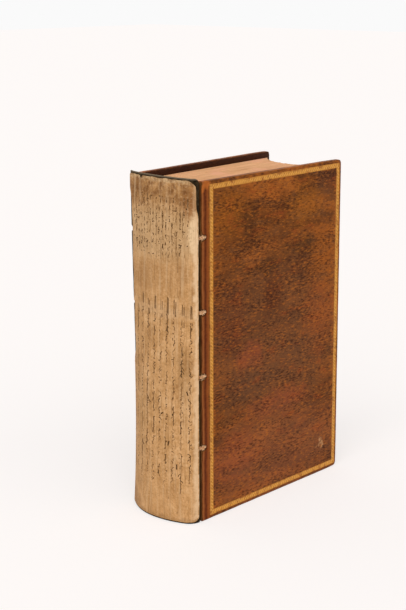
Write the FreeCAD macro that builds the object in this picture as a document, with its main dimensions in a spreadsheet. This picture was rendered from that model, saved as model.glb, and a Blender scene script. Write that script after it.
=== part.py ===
"""An old leather-bound book whose leather spine is lost.

The book stands on its tail. X runs through its thickness towards the front board,
Y runs from the spine to the fore-edge, and Z runs up from the surface it stands on.
The back of the text block is rounded and backed, four cords are sawn into it and laced
into the two boards, and a dark lining with a parchment strip covers the back.
Lengths are millimetres and angles are degrees.
"""
import FreeCAD, Part
import math
import os
import Sketcher

SIZES = {
    # Boards and what covers them
    "board_height": 210,
    "board_reach": 130.6,
    "pasteboard_thickness": 3.1,
    "leather_thickness": 0.7,
    "turn_in_thickness": 0.4,
    "turn_in_width": 14,
    "pastedown_thickness": 0.2,
    "pastedown_margin": 4.5,
    "corner_radius": 2,
    "edge_round": 0.6,
    "front_joint_gap": 0.6,
    "rear_joint_gap": 2.4,
    "splay": 1.87,
    # Tooled and gilt border on the outside of each board
    "border_width": 3.8,
    "border_depth": 0.15,
    "border_from_joint": 7.1,
    "border_from_edge": 0.9,
    "border_from_head": 1.8,
    # Text block
    "block_thickness": 46.4,
    "block_gap": 0.4,
    "head_square": 4,
    "tail_square": 2.8,
    "fore_edge_square": 3.2,
    "fore_edge_hollow": 14,
    # Rounded back of the text block
    "shoulder_gap": 0.6,
    "shoulder_inset": 1.6,
    "rise_tail": 12,
    "rise_head": 5.6,
    "corner_tail": 8,
    "corner_head": 3.6,
    "rear_corner": 3,
    "waist": 2.4,
    "waist_share": 0.33,
    # Lining and parchment strip on the back
    "glue_gap": 0.2,
    "lining_thickness": 0.9,
    "lining_foot": 0.3,
    "lining_overhead": 2,
    "paste_gap": 0.1,
    "strip_thickness": 0.4,
    "strip_foot": 1,
    "strip_overhead": 1,
    "strip_front_margin": 2.6,
    "strip_rear_margin": 2.8,
    # Sewing cords and their laced ends
    "cord_1_share": 0.8405,
    "cord_2_share": 0.6257,
    "cord_3_share": 0.4367,
    "cord_4_share": 0.2243,
    "cord_radius": 1,
    "cord_depth": 1.6,
    "cord_recess": 1.8,
    "cord_end_gap": 0.9,
    "slip_start_gap": 0.3,
    "kerf_clearance": 0.25,
    "lacing_reach": 7,
    "lacing_bend": 1.6,
    "lacing_clearance": 0.3,
    "front_slot_reach": 3.6,
    "rear_slot_reach": 5,
    "worn_notch_reach": 5.2,
    "worn_notch_half": 2.2,
}

CORDS = ("1", "2", "3", "4")
CORD_SIDES = 8
FLAT_CHORDS = 6
CORNER_CHORDS = 4
DOWN = 3 * math.pi / 2

document = FreeCAD.newDocument("leather_book")
book = document.addObject("Spreadsheet::Sheet", "book")


def add_size(alias, content):
    """Adds a named size to the sheet, as a plain number or as a formula, and returns its reference."""
    row = len(book.getUsedCells()) // 2 + 1
    book.set(f"A{row}", alias)
    book.set(f"B{row}", content)
    book.setAlias(f"B{row}", alias)
    book.recompute()
    return f"book.{alias}"


def derive(alias, formula):
    """Adds a size worked out from others. The sheet's own cells are named without its name."""
    return add_size(alias, "=" + formula.replace("book.", ""))


for alias, size in SIZES.items():
    add_size(alias, str(size))


def number(expression):
    """The present value of an expression of the sheet."""
    return float(book.evalExpression(expression))


# Heights of the ends of the text block, the lining and the strip
BLOCK_TAIL = "book.tail_square"
BLOCK_HEAD = "(book.board_height - book.head_square)"
LINING_TAIL = "book.lining_foot"
LINING_HEAD = "(book.board_height + book.lining_overhead)"
STRIP_TAIL = "book.strip_foot"
STRIP_HEAD = "(book.board_height + book.strip_overhead)"
CORD_HEIGHT = {cord: derive(f"cord_{cord}_height", f"book.board_height * book.cord_{cord}_share")
               for cord in CORDS}
WAIST_HEIGHT = derive("waist_height", "book.board_height * book.waist_share")

# Depths below the outer face of a board
SKIN = "book.leather_thickness"
CORE_FACE = derive("core_face", "book.leather_thickness + book.pasteboard_thickness")
TURN_IN_FACE = derive("turn_in_face", f"{CORE_FACE} + book.turn_in_thickness")
BOARD_STACK = derive("board_stack", f"{TURN_IN_FACE} + book.pastedown_thickness")

# Places across the book
HINGE_X = derive("hinge_x", f"book.block_thickness / 2 + book.block_gap + {BOARD_STACK}")
BACK_HALF = derive("back_half", f"{HINGE_X} - book.shoulder_inset")
SPLAY = "(book.splay * 1 deg)"
LINING_INSIDE = "book.glue_gap"
LINING_OUTSIDE = derive("lining_outside", "book.glue_gap + book.lining_thickness")
STRIP_INSIDE = derive("strip_inside", f"{LINING_OUTSIDE} + book.paste_gap")
STRIP_OUTSIDE = derive("strip_outside", f"{STRIP_INSIDE} + book.strip_thickness")
FORE_EDGE_Y = derive("fore_edge_y", f"book.board_reach * cos({SPLAY}) + {BOARD_STACK} * sin({SPLAY})")
SPINE_Y = derive("spine_y", f"book.shoulder_gap + book.rise_tail + {STRIP_OUTSIDE}")
MIDDLE_Y = derive("middle_y", f"({FORE_EDGE_Y} - {SPINE_Y}) / 2")
BLOCK_FORE_Y = "(book.board_reach - book.fore_edge_square)"


def rise_at(height):
    """How far the back bulges at a height: most at the tail, least at the head."""
    return f"(book.rise_tail + (book.rise_head - book.rise_tail) * {height} / book.board_height)"


def corner_at(height):
    """Radius that turns the back into the front shoulder."""
    return f"(book.corner_tail + (book.corner_head - book.corner_tail) * {height} / book.board_height)"


def rear_half_at(height):
    """Half width of the back on the rear side, drawn in most at the waist and not at the ends."""
    below = f"{height} / {WAIST_HEIGHT}"
    above = f"(book.board_height - {height}) / (book.board_height - {WAIST_HEIGHT})"
    return f"({BACK_HALF} - book.waist * ({height} < {WAIST_HEIGHT} ? {below} : {above}))"


def flat_radius(half, rise, corner):
    """Radius of the flatter arc between the crown and a corner arc that ends square to the joint."""
    return f"((({half} - {corner}) ^ 2 + {rise} ^ 2 - {corner} ^ 2) / (2 * ({rise} - {corner})))"


def new_body(label):
    body = document.addObject("PartDesign::Body", label)
    body.Label = label
    return body


def plane_of(body, role):
    return next(item for item in body.Origin.OriginFeatures if item.Role == role)


def new_sketch(body, name, role="XY_Plane", offset="0"):
    """A sketch on one of the body's own planes, moved along the plane's normal."""
    sketch = body.newObject("Sketcher::SketchObject", name)
    sketch.AttachmentSupport = [(plane_of(body, role), "")]
    sketch.MapMode = "FlatFace"
    sketch.setExpression("AttachmentOffset.Base.z", offset)
    return sketch


def bind(sketch, kind, *items_and_size):
    """A dimension whose size is an expression of the sheet."""
    *items, size = items_and_size
    index = sketch.addConstraint(Sketcher.Constraint(kind, *items, number(size)))
    sketch.setExpression(f"Constraints[{index}]", size)


def place_point(sketch, element, end, x, y):
    """Dimensions from the origin to a point, each taken in the direction that makes it positive."""
    for kind, size in (("DistanceX", x), ("DistanceY", y)):
        if number(size) < 0:
            bind(sketch, kind, element, end, -1, 1, f"-{size}")
        else:
            bind(sketch, kind, -1, 1, element, end, size)


def tie(sketch, kind, *items):
    sketch.addConstraint(Sketcher.Constraint(kind, *items))


def polyline(sketch, points):
    """Joined straight sides through points given by their two expressions. Returns the sides."""
    corners = [FreeCAD.Vector(number(x), number(y), 0) for x, y in points]
    sides = [sketch.addGeometry(Part.LineSegment(*pair)) for pair in zip(corners, corners[1:])]
    for side, following in zip(sides, sides[1:]):
        tie(sketch, "Coincident", side, 2, following, 1)
    for side, (x, y) in zip(sides, points):
        place_point(sketch, side, 1, x, y)
    place_point(sketch, sides[-1], 2, *points[-1])
    return sides


def polygon(sketch, points):
    sides = polyline(sketch, points)
    line_between(sketch, (sides[-1], 2), (sides[0], 1))


def rectangle(sketch, low_x, low_y, high_x, high_y):
    polygon(sketch, [(low_x, low_y), (high_x, low_y), (high_x, high_y), (low_x, high_y)])


def arc_of(centre, radius, start, end):
    circle = Part.Circle(FreeCAD.Vector(*centre, 0), FreeCAD.Vector(0, 0, 1), radius)
    return Part.ArcOfCircle(circle, start, end)


def back_arch(name, height, offset="0"):
    """Points along the block's back at a height, moved outwards by an offset, rear to front.

    The back is a basket-handle arch: a flatter arc runs from the crown to a corner arc on each
    side, and the corner arc ends square to the joint. The chords keep the same number at every
    height, so that sections join corner to corner.
    """
    rise = derive(f"{name}_rise", f"{rise_at(height)} + {offset}")
    points = []
    for side, label, half, corner in ((-1, "rear", rear_half_at(height), "book.rear_corner"),
                                      (1, "front", BACK_HALF, corner_at(height))):
        half = derive(f"{name}_{label}_half", f"{half} + {offset}")
        corner = derive(f"{name}_{label}_corner", f"{corner} + {offset}")
        radius = derive(f"{name}_{label}_radius", flat_radius(half, rise, corner))
        meet = derive(f"{name}_{label}_meet", f"atan(({half} - {corner}) / ({radius} - {rise}))")
        crown = f"(-book.shoulder_gap - {rise})"
        arc = []
        for step in range(1, FLAT_CHORDS + 1):
            turn = f"({meet} * {step} / {FLAT_CHORDS})"
            arc.append((f"({side} * {radius} * sin{turn})", f"({crown} + {radius} * (1 - cos{turn}))"))
        for step in range(1, CORNER_CHORDS + 1):
            turn = f"({meet} + (90 deg - {meet}) * {step} / {CORNER_CHORDS})"
            arc.append((f"({side} * ({half} - {corner} + {corner} * sin{turn}))",
                        f"(-book.shoulder_gap - {corner} * cos{turn})"))
        points = arc[::-1] + [("0", crown)] if side < 0 else points + arc
    return points


def line_between(sketch, start, end):
    """A side that joins the ends of two elements, each given as (element, which end)."""
    line = sketch.addGeometry(Part.LineSegment(sketch.getPoint(*start), sketch.getPoint(*end)))
    tie(sketch, "Coincident", line, 1, *start)
    tie(sketch, "Coincident", line, 2, *end)
    return line


def loft(body, name, sections):
    feature = body.newObject("PartDesign::AdditiveLoft", name)
    feature.Profile = sections[0]
    feature.Sections = sections[1:]
    feature.Ruled = True
    return feature


def pad(body, name, sketch, length, towards_plus):
    feature = body.newObject("PartDesign::Pad", name)
    feature.Profile = sketch
    feature.setExpression("Length", length)
    feature.Reversed = not towards_plus
    return feature


def pocket(body, name, sketch, length, towards_plus):
    """A cut from the sketch towards the plus or minus side of its plane."""
    feature = body.newObject("PartDesign::Pocket", name)
    feature.Profile = sketch
    feature.setExpression("Length", length)
    feature.Reversed = towards_plus
    return feature


def set_in_book(body):
    """Moves a piece of the text block so that the book's middle is over the origin."""
    body.setExpression("Placement.Base.y", f"-{MIDDLE_Y}")


# Text block

def block_section(body, height, name):
    """Plan of the block: rounded back, shoulders, splayed sides and hollow fore-edge."""
    sketch = new_sketch(body, name, offset=height)
    half_at_shoulder = f"(book.block_thickness / 2 - book.shoulder_gap * tan({SPLAY}))"
    half_at_fore_edge = f"(book.block_thickness / 2 + {BLOCK_FORE_Y} * tan({SPLAY}))"
    rear_side = [(f"(-{half_at_fore_edge})", BLOCK_FORE_Y), (f"(-{half_at_shoulder})", "(-book.shoulder_gap)")]
    front_side = [(half_at_shoulder, "(-book.shoulder_gap)"), (half_at_fore_edge, BLOCK_FORE_Y)]
    sides = polyline(sketch, rear_side + back_arch(name, height) + front_side)
    hollow = "book.fore_edge_hollow"
    radius = f"(({half_at_fore_edge} ^ 2 + {hollow} ^ 2) / (2 * {hollow}))"
    reach = math.asin(number(half_at_fore_edge) / number(radius))
    centre = (0, number(f"({BLOCK_FORE_Y} - {hollow} + {radius})"))
    fore_edge = sketch.addGeometry(arc_of(centre, number(radius), DOWN - reach, DOWN + reach))
    tie(sketch, "Coincident", fore_edge, 1, sides[0], 1)
    tie(sketch, "Coincident", fore_edge, 2, sides[-1], 2)
    bind(sketch, "Radius", fore_edge, radius)
    return sketch


def kerf(body, cord):
    """The slot sawn across the back for a sunk cord."""
    height = CORD_HEIGHT[cord]
    half_kerf = "(book.cord_radius + book.kerf_clearance)"
    sketch = new_sketch(body, f"kerf_{cord}_plan", offset=f"({height} - {half_kerf})")
    floor = back_arch(f"kerf_{cord}", height, f"(-book.cord_depth - {half_kerf})")
    outer_x = f"({BACK_HALF} + book.cord_radius)"
    outer_y = f"(book.shoulder_gap + {rise_at(height)} + book.cord_radius)"
    polygon(sketch, floor + [(outer_x, "(-book.shoulder_gap)"), (outer_x, f"(-{outer_y})"),
                             (f"(-{outer_x})", f"(-{outer_y})"), (f"(-{outer_x})", "(-book.shoulder_gap)")])
    return pocket(body, f"kerf_{cord}", sketch, f"(2 * {half_kerf})", towards_plus=True)


def make_text_block():
    body = new_body("text_block")
    heights = [BLOCK_TAIL, WAIST_HEIGHT, BLOCK_HEAD]
    sections = [block_section(body, height, f"block_plan_{index}") for index, height in enumerate(heights)]
    loft(body, "leaves", sections)
    for cord in CORDS:
        kerf(body, cord)
    set_in_book(body)
    return body


# Lining and parchment strip

def shell_section(body, height, name, inside, outside):
    sketch = new_sketch(body, name, offset=height)
    inner = back_arch(f"{name}_inner", height, inside)
    outer = back_arch(f"{name}_outer", height, outside)
    polygon(sketch, inner + outer[::-1])
    return sketch


def back_shell(label, tail, head, inside, outside):
    body = new_body(label)
    heights = [tail, WAIST_HEIGHT, head]
    sections = [shell_section(body, height, f"{label}_plan_{index}", inside, outside)
                for index, height in enumerate(heights)]
    loft(body, f"{label}_sheet", sections)
    return body


def trim_edge(body, name, towards_front, reach, low, high):
    """Cuts the sheet back from the hinge line by a reach, between two heights, on one side."""
    sketch = new_sketch(body, f"{name}_outline", "YZ_Plane", f"({1 if towards_front else -1} * {BACK_HALF} / 4)")
    rectangle(sketch, f"(-{reach})", low, "book.cord_radius", high)
    return pocket(body, name, sketch, HINGE_X, towards_plus=towards_front)


def make_spine_lining():
    body = back_shell("spine_lining", LINING_TAIL, LINING_HEAD, LINING_INSIDE, LINING_OUTSIDE)
    half = "(book.cord_radius + book.kerf_clearance)"
    for cord in CORDS:
        low = f"({CORD_HEIGHT[cord]} - {half})"
        high = f"({CORD_HEIGHT[cord]} + {half})"
        trim_edge(body, f"front_cord_slot_{cord}", True, "book.front_slot_reach", low, high)
        trim_edge(body, f"rear_cord_slot_{cord}", False, "book.rear_slot_reach", low, high)
    set_in_book(body)
    return body


def make_parchment_strip():
    body = back_shell("parchment_strip", STRIP_TAIL, STRIP_HEAD, STRIP_INSIDE, STRIP_OUTSIDE)
    above = f"({STRIP_HEAD} + book.strip_thickness)"
    for name, towards_front, margin in (("front_edge", True, "book.strip_front_margin"),
                                        ("rear_edge", False, "book.strip_rear_margin")):
        trim_edge(body, name, towards_front, f"(book.shoulder_gap + {margin})", "0", above)
    set_in_book(body)
    return body


# Sewing cords

def tangent_turn(point, centre, radius):
    """Turn, from straight down, at which a circle's tangent runs on to a point beside it.

    A point inside the circle has no tangent, so the turn is a full half circle.
    """
    aside, up = point[0] - centre[0], point[1] - centre[1]
    distance = math.hypot(aside, up)
    if distance <= radius:
        return math.pi
    return math.atan2(aside, -up) - math.acos(radius / distance)


def cord_side(sketch, height, side):
    """A sunk cord's line from the crown of the back to one joint.

    It follows the flatter arc and then the corner arc, sunk below the back, until it can run
    straight to the joint. Where the waist has drawn the shoulder in, it leaves the flatter arc.
    Returns its elements from the crown outwards.
    """
    half, corner = (BACK_HALF, corner_at(height)) if side > 0 else (rear_half_at(height), "book.rear_corner")
    rise = rise_at(height)
    crown = f"(book.shoulder_gap + {rise} - book.cord_depth)"
    flat_size = f"({flat_radius(half, rise, corner)} - book.cord_depth)"
    corner_size = f"({corner} - book.cord_depth)"
    corner_x = f"({side} * ({half} - {corner}))"
    joint = (f"({side} * ({HINGE_X} - book.cord_recess))", "(-book.cord_end_gap)")

    middle = number(flat_size) - number(crown)
    corner_centre = (abs(number(corner_x)), -number("book.shoulder_gap"))
    joint_point = (abs(number(joint[0])), number(joint[1]))
    meet = math.atan2(corner_centre[0], middle - corner_centre[1])
    leave = tangent_turn(joint_point, (0, middle), number(flat_size))
    near, far = (1, 2) if side > 0 else (2, 1)

    turns = sorted((DOWN, DOWN + side * min(meet, leave)))
    elements = [sketch.addGeometry(arc_of((0, middle), number(flat_size), *turns))]
    tie(sketch, "PointOnObject", elements[0], near, -2)
    tie(sketch, "PointOnObject", elements[0], 3, -2)
    bind(sketch, "DistanceY", elements[0], near, -1, 1, crown)
    if leave < meet:
        bind(sketch, "Radius", elements[0], flat_size)
    else:
        leave = tangent_turn(joint_point, corner_centre, number(corner_size))
        turns = sorted((DOWN + side * meet, DOWN + side * leave))
        centre = (number(corner_x), corner_centre[1])
        elements.append(sketch.addGeometry(arc_of(centre, number(corner_size), *turns)))
        tie(sketch, "Tangent", elements[0], far, elements[1], near)
        place_point(sketch, elements[1], 3, corner_x, "(-book.shoulder_gap)")
        bind(sketch, "Radius", elements[1], corner_size)
    inner, outer = sketch.getPoint(elements[-1], far), FreeCAD.Vector(*[number(place) for place in joint], 0)
    ends = (inner, outer) if side > 0 else (outer, inner)
    line = sketch.addGeometry(Part.LineSegment(*ends))
    tie(sketch, "Tangent", elements[-1], far, line, near)
    place_point(sketch, line, far, *joint)
    return elements + [line]


def make_sewing_cord(cord):
    """A sunk cord along the back, broken off at both joints."""
    body = new_body(f"sewing_cord_{cord}")
    path = new_sketch(body, f"cord_{cord}_path", offset=CORD_HEIGHT[cord])
    to_rear = cord_side(path, CORD_HEIGHT[cord], -1)
    to_front = cord_side(path, CORD_HEIGHT[cord], 1)
    sweep_cord(body, f"cord_{cord}", path, to_rear[::-1] + to_front)
    set_in_book(body)
    return body


def sweep_cord(body, name, path, elements):
    """Sweeps the cord along a path, from the start of its first element, with a few flat sides."""
    edges = [f"Edge{element + 1}" for element in elements]
    section = body.newObject("Sketcher::SketchObject", f"{name}_section")
    section.AttachmentSupport = [(path, edges[0])]
    section.MapMode = "NormalToEdge"
    turns = [f"({360 * (side + 0.5) / CORD_SIDES} deg)" for side in range(CORD_SIDES)]
    polygon(section, [(f"(book.cord_radius * cos{turn})", f"(book.cord_radius * sin{turn})") for turn in turns])
    feature = body.newObject("PartDesign::AdditivePipe", f"{name}_twist")
    feature.Profile = section
    feature.Spine = (path, edges)


def circle(sketch, x, y, radius):
    centre = FreeCAD.Vector(number(x), number(y), 0)
    ring = sketch.addGeometry(Part.Circle(centre, FreeCAD.Vector(0, 0, 1), number(radius)))
    place_point(sketch, ring, 3, x, y)
    bind(sketch, "Radius", ring, radius)


# Boards
# Each piece is drawn with the hinge line at its origin, the outer face of the board at X = 0
# and the board's depth towards the text block, then set in the book at the splay.

class BoardSide:
    """One of the two boards: its name, its side of the book and its gap at the joint."""

    def __init__(self, name, sign):
        self.name = name
        self.sign = sign
        self.near = f"book.{name}_joint_gap"

    def body(self, piece):
        return new_body(f"{self.name}_{piece}")

    def inward(self, depth):
        """X of a depth below the outer face."""
        return f"({-self.sign} * {depth})"

    def sketch(self, body, name, depth):
        return new_sketch(body, f"{self.name}_{name}", "YZ_Plane", self.inward(depth))

    def pad(self, body, name, sketch, length):
        return pad(body, f"{self.name}_{name}", sketch, length, towards_plus=self.sign < 0)

    def pocket(self, body, name, sketch, length):
        return pocket(body, f"{self.name}_{name}", sketch, length, towards_plus=self.sign < 0)

    def set_in_book(self, body):
        body.Placement = FreeCAD.Placement(FreeCAD.Vector(), FreeCAD.Rotation(FreeCAD.Vector(0, 0, -self.sign), 1))
        body.setExpression("Placement.Base.x", f"({self.sign} * {HINGE_X})")
        body.setExpression("Placement.Base.y", f"-{MIDDLE_Y}")
        body.setExpression("Placement.Rotation.Angle", SPLAY)
        return body


def fillet(body, name, base, edges, radius):
    feature = body.newObject("PartDesign::Fillet", name)
    feature.Base = (base, edges)
    feature.setExpression("Radius", radius)
    return feature


def edges_where(feature, test):
    """Names of the edges whose two ends pass a test."""
    document.recompute()
    return [f"Edge{index}" for index, edge in enumerate(feature.Shape.Edges, start=1)
            if all(test(vertex.Point) for vertex in edge.Vertexes)]


def make_pasteboard(side):
    """The stiff core, with a channel and a hole for each laced cord."""
    body = side.body("board")
    outline = side.sketch(body, "core_outline", SKIN)
    rectangle(outline, side.near, SKIN, f"(book.board_reach - {SKIN})", f"(book.board_height - {SKIN})")
    side.pad(body, "core", outline, "book.pasteboard_thickness")
    half = "(book.cord_radius + book.lacing_clearance)"
    for cord in CORDS:
        height = CORD_HEIGHT[cord]
        channel = side.sketch(body, f"channel_{cord}_outline", SKIN)
        rectangle(channel, f"({side.near} - {half})", f"({height} - {half})",
                  f"(book.lacing_reach + {half})", f"({height} + {half})")
        depth = f"(book.cord_recess + {half} - {SKIN})"
        side.pocket(body, f"channel_{cord}", channel, depth)
        hole = side.sketch(body, f"hole_{cord}_outline", SKIN)
        circle(hole, "book.lacing_reach", height, half)
        side.pocket(body, f"hole_{cord}", hole, "(book.pasteboard_thickness * 2)")
    return side.set_in_book(body)


def make_leather(side):
    """Calf over the outside, turned in on three sides, torn off along the joint."""
    body = side.body("leather")
    far, top = "book.board_reach", "book.board_height"
    outline = side.sketch(body, "cover_outline", "0")
    rectangle(outline, side.near, "0", far, top)
    cover = side.pad(body, "cover", outline, TURN_IN_FACE)
    reach, height = number(far), number(top)
    corners = edges_where(cover, lambda point: abs(point.y - reach) < 1e-6 and min(point.z, height - point.z) < 1e-6)
    corners = [name for name in corners if abs(cover.Shape.getElement(name).Length - number(TURN_IN_FACE)) < 1e-6]
    rounded = fillet(body, f"{side.name}_corners", cover, corners, "book.corner_radius")
    near = number(side.near)
    rim = edges_where(rounded, lambda point: abs(point.x) < 1e-6)
    rim = [name for name in rim
           if max(vertex.Point.y for vertex in rounded.Shape.getElement(name).Vertexes) > near + 1e-6]
    fillet(body, f"{side.name}_rim", rounded, rim, "book.edge_round")
    core = side.sketch(body, "core_space_outline", SKIN)
    rectangle(core, f"({side.near} - {SKIN})", SKIN, f"({far} - {SKIN})", f"({top} - {SKIN})")
    side.pocket(body, "core_space", core, "book.pasteboard_thickness")
    window = side.sketch(body, "window_outline", CORE_FACE)
    turn_in = "book.turn_in_width"
    rectangle(window, f"({side.near} - {SKIN})", turn_in, f"({far} - {turn_in})", f"({top} - {turn_in})")
    side.pocket(body, "window", window, "(book.turn_in_thickness * 2)")
    border = side.sketch(body, "border_groove_outline", "0")
    border_frame(border)
    side.pocket(body, "border_groove", border, "book.border_depth")
    for cord in CORDS:
        worn = side.sketch(body, f"worn_notch_{cord}_outline", "0")
        half = "book.worn_notch_half"
        rectangle(worn, f"({side.near} - {half})", f"({CORD_HEIGHT[cord]} - {half})",
                  "book.worn_notch_reach", f"({CORD_HEIGHT[cord]} + {half})")
        side.pocket(body, f"worn_notch_{cord}", worn, SKIN)
    return side.set_in_book(body)


def border_frame(sketch):
    """The band between two rectangles that runs round the board."""
    inset, width = "book.border_from_edge", "book.border_width"
    low_y, high_y = "book.border_from_joint", f"(book.board_reach - {inset})"
    low_z, high_z = inset, "(book.board_height - book.border_from_head)"
    rectangle(sketch, low_y, low_z, high_y, high_z)
    rectangle(sketch, f"({low_y} + {width})", f"({low_z} + {width})", f"({high_y} - {width})", f"({high_z} - {width})")


def make_gilt_border(side):
    body = side.body("gilt_border")
    outline = side.sketch(body, "gilt_outline", "0")
    border_frame(outline)
    side.pad(body, "gilt", outline, "book.border_depth")
    return side.set_in_book(body)


def make_pastedown(side):
    """The leaf pasted inside the board: it fills the window of the turn-ins and laps over them."""
    body = side.body("pastedown")
    far, top, turn_in = "book.board_reach", "book.board_height", "book.turn_in_width"
    fill = side.sketch(body, "fill_outline", CORE_FACE)
    rectangle(fill, side.near, turn_in, f"({far} - {turn_in})", f"({top} - {turn_in})")
    side.pad(body, "fill", fill, "book.turn_in_thickness")
    margin = "book.pastedown_margin"
    leaf = side.sketch(body, "leaf_outline", TURN_IN_FACE)
    rectangle(leaf, side.near, margin, f"({far} - {margin})", f"({top} - {margin})")
    side.pad(body, "leaf", leaf, "book.pastedown_thickness")
    return side.set_in_book(body)


def make_slip(side, cord):
    """A laced cord end: along its channel, then through the board to the inside."""
    body = side.body(f"slip_{cord}")
    height = CORD_HEIGHT[cord]
    x_out = side.inward("book.cord_recess")
    x_bend = side.inward("(book.cord_recess + book.lacing_bend)")
    x_in = side.inward(CORE_FACE)
    y_start, y_in = "book.slip_start_gap", "book.lacing_reach"
    y_bend = "(book.lacing_reach - book.lacing_bend)"
    path = new_sketch(body, f"{side.name}_slip_{cord}_path", offset=height)
    along = path.addGeometry(Part.LineSegment(*[FreeCAD.Vector(number(x_out), number(y), 0) for y in (y_start, y_bend)]))
    through = path.addGeometry(Part.LineSegment(*[FreeCAD.Vector(number(x), number(y_in), 0) for x in (x_bend, x_in)]))
    radius = number("book.lacing_bend")
    start, end = (0, math.pi / 2) if side.sign > 0 else (math.pi / 2, math.pi)
    bend = path.addGeometry(arc_of((number(x_bend), number(y_bend)), radius, start, end))
    place_point(path, along, 1, x_out, y_start)
    place_point(path, through, 2, x_in, y_in)
    tie(path, "Vertical", along)
    tie(path, "Horizontal", through)
    from_along, to_through = (1, 2) if side.sign > 0 else (2, 1)
    tie(path, "Tangent", along, 2, bend, from_along)
    tie(path, "Tangent", bend, to_through, through, 1)
    bind(path, "Radius", bend, "book.lacing_bend")
    sweep_cord(body, f"{side.name}_slip_{cord}", path, [along, bend, through])
    return side.set_in_book(body)


def make_board(side):
    pieces = [make_pasteboard(side), make_leather(side), make_pastedown(side), make_gilt_border(side)]
    return pieces + [make_slip(side, cord) for cord in CORDS]


pieces = [make_text_block(), make_spine_lining(), make_parchment_strip()]
pieces += [make_sewing_cord(cord) for cord in CORDS]
for board in (BoardSide("front", 1), BoardSide("rear", -1)):
    pieces += make_board(board)
document.recompute()

for item in document.Objects:
    if {"Invalid", "Error"} & set(item.State):
        raise RuntimeError(f"{item.Label} did not compute: {item.State}")
for piece in pieces:
    shape = piece.Shape
    if shape.isNull() or not shape.isValid() or len(shape.Solids) != 1:
        raise RuntimeError(f"{piece.Label} is not one valid solid")

os.makedirs("parts", exist_ok=True)
for piece in pieces:
    piece.Shape.exportStep(f"parts/{piece.Label}.step")
    box = piece.Shape.BoundBox
    print(f"{piece.Label}: {piece.Shape.Volume:.0f} mm3, Z {box.ZMin:.1f} to {box.ZMax:.1f}")
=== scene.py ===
"""Looks of an old leather-bound book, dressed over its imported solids.

X runs through the thickness towards the front board, Y from the spine to the fore-edge and
Z up. Places are written in millimetres and turned to metres by MM.
"""
import math
import random

import bmesh
import bpy
from mathutils import Matrix, Vector, noise


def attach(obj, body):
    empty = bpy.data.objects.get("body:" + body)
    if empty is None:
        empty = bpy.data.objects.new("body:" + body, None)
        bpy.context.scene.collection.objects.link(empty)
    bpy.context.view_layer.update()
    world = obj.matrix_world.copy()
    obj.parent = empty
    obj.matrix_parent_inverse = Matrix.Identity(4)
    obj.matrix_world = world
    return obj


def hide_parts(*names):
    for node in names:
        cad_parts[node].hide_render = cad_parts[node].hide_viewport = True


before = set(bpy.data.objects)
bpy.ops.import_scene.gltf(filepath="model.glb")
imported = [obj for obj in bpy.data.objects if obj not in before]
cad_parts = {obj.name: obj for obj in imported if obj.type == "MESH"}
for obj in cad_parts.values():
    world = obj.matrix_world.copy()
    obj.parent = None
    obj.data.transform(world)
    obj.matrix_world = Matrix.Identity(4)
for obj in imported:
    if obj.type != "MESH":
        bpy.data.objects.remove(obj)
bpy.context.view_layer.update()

MM = 0.001

# Sizes of the book
HEIGHT = 210.0
REACH = 130.6
HINGE_X = 28.0
JOINT_Y = -58.237
SPLAY = math.radians(1.87)
JOINT_GAP = {"front": 0.6, "rear": 2.4}
CORD_HEIGHTS = (176.5, 131.4, 91.7, 47.1)
HALF_KERF, KERF_DEPTH = 1.25, 2.85
BOARD_SIDE = {"front": 1, "rear": -1}

BLOCK_TAIL, BLOCK_HEAD = 2.8, 206.0
BLOCK_THICKNESS = 46.4
BLOCK_HALF = 23.18
BLOCK_FORE = 127.4
HOLLOW = 14.0
SHOULDER = 0.6

# The rounded back: its half width, how far the waist draws its rear side in, and its rise and
# corner radius at the tail with what they lose up to the head
BACK_HALF, WAIST_DRAW = 26.4, 2.4
BACK_RISE, RISE_LOSS = 12, 6.4
FRONT_CORNER, CORNER_LOSS = 8, 4.4
REAR_CORNER = 3

# How far the sheets lie off the back, and where their edges are measured
LINING_INSIDE, LINING_OUTSIDE, LINING_EDGE = 0.22, 1.02, 0.8
LINING_HEAD = 212.0
STRIP_INSIDE, STRIP_THICKNESS, STRIP_EDGE = 1.2, 0.24, 1.4


# Camera and light

def look_through_camera():
    """The photograph's view: its place, its direction, a slight roll and its lens."""
    azimuth, pitch, roll = math.radians(42.437), math.radians(11.801), math.radians(0.149)
    forward = Vector((-math.sin(azimuth) * math.cos(pitch), math.cos(azimuth) * math.cos(pitch),
                      -math.sin(pitch)))
    right = Vector((math.cos(azimuth), math.sin(azimuth), 0))
    down = forward.cross(right)
    across = right * math.cos(roll) + down * math.sin(roll)
    drop = down * math.cos(roll) - right * math.sin(roll)
    lens = bpy.data.cameras.new("camera")
    lens.lens = 75.56
    lens.shift_y = -0.0984
    lens.sensor_width = 36
    camera = bpy.data.objects.new("camera", lens)
    turn = Matrix((across, -drop, -forward)).transposed().to_4x4()
    camera.matrix_world = Matrix.Translation((0.5214, -0.5961, 0.3253)) @ turn
    bpy.context.scene.collection.objects.link(camera)
    bpy.context.scene.camera = camera


def add_lamp(name, towards, strength, softness):
    """A broad even light from a direction, as from a big diffuser."""
    lamp = bpy.data.lights.new(name, "SUN")
    lamp.energy = strength
    lamp.angle = math.radians(softness)
    stand = bpy.data.objects.new(name, lamp)
    stand.rotation_euler = Vector(towards).to_track_quat("Z", "Y").to_euler()
    bpy.context.scene.collection.objects.link(stand)


# Materials

def colour(code):
    """A colour written as sRGB hex, turned to the linear values that shaders take."""
    channels = [int(code[start:start + 2], 16) / 255 for start in (1, 3, 5)]
    linear = [c / 12.92 if c <= 0.04045 else ((c + 0.055) / 1.055) ** 2.4 for c in channels]
    return (*linear, 1.0)


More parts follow.
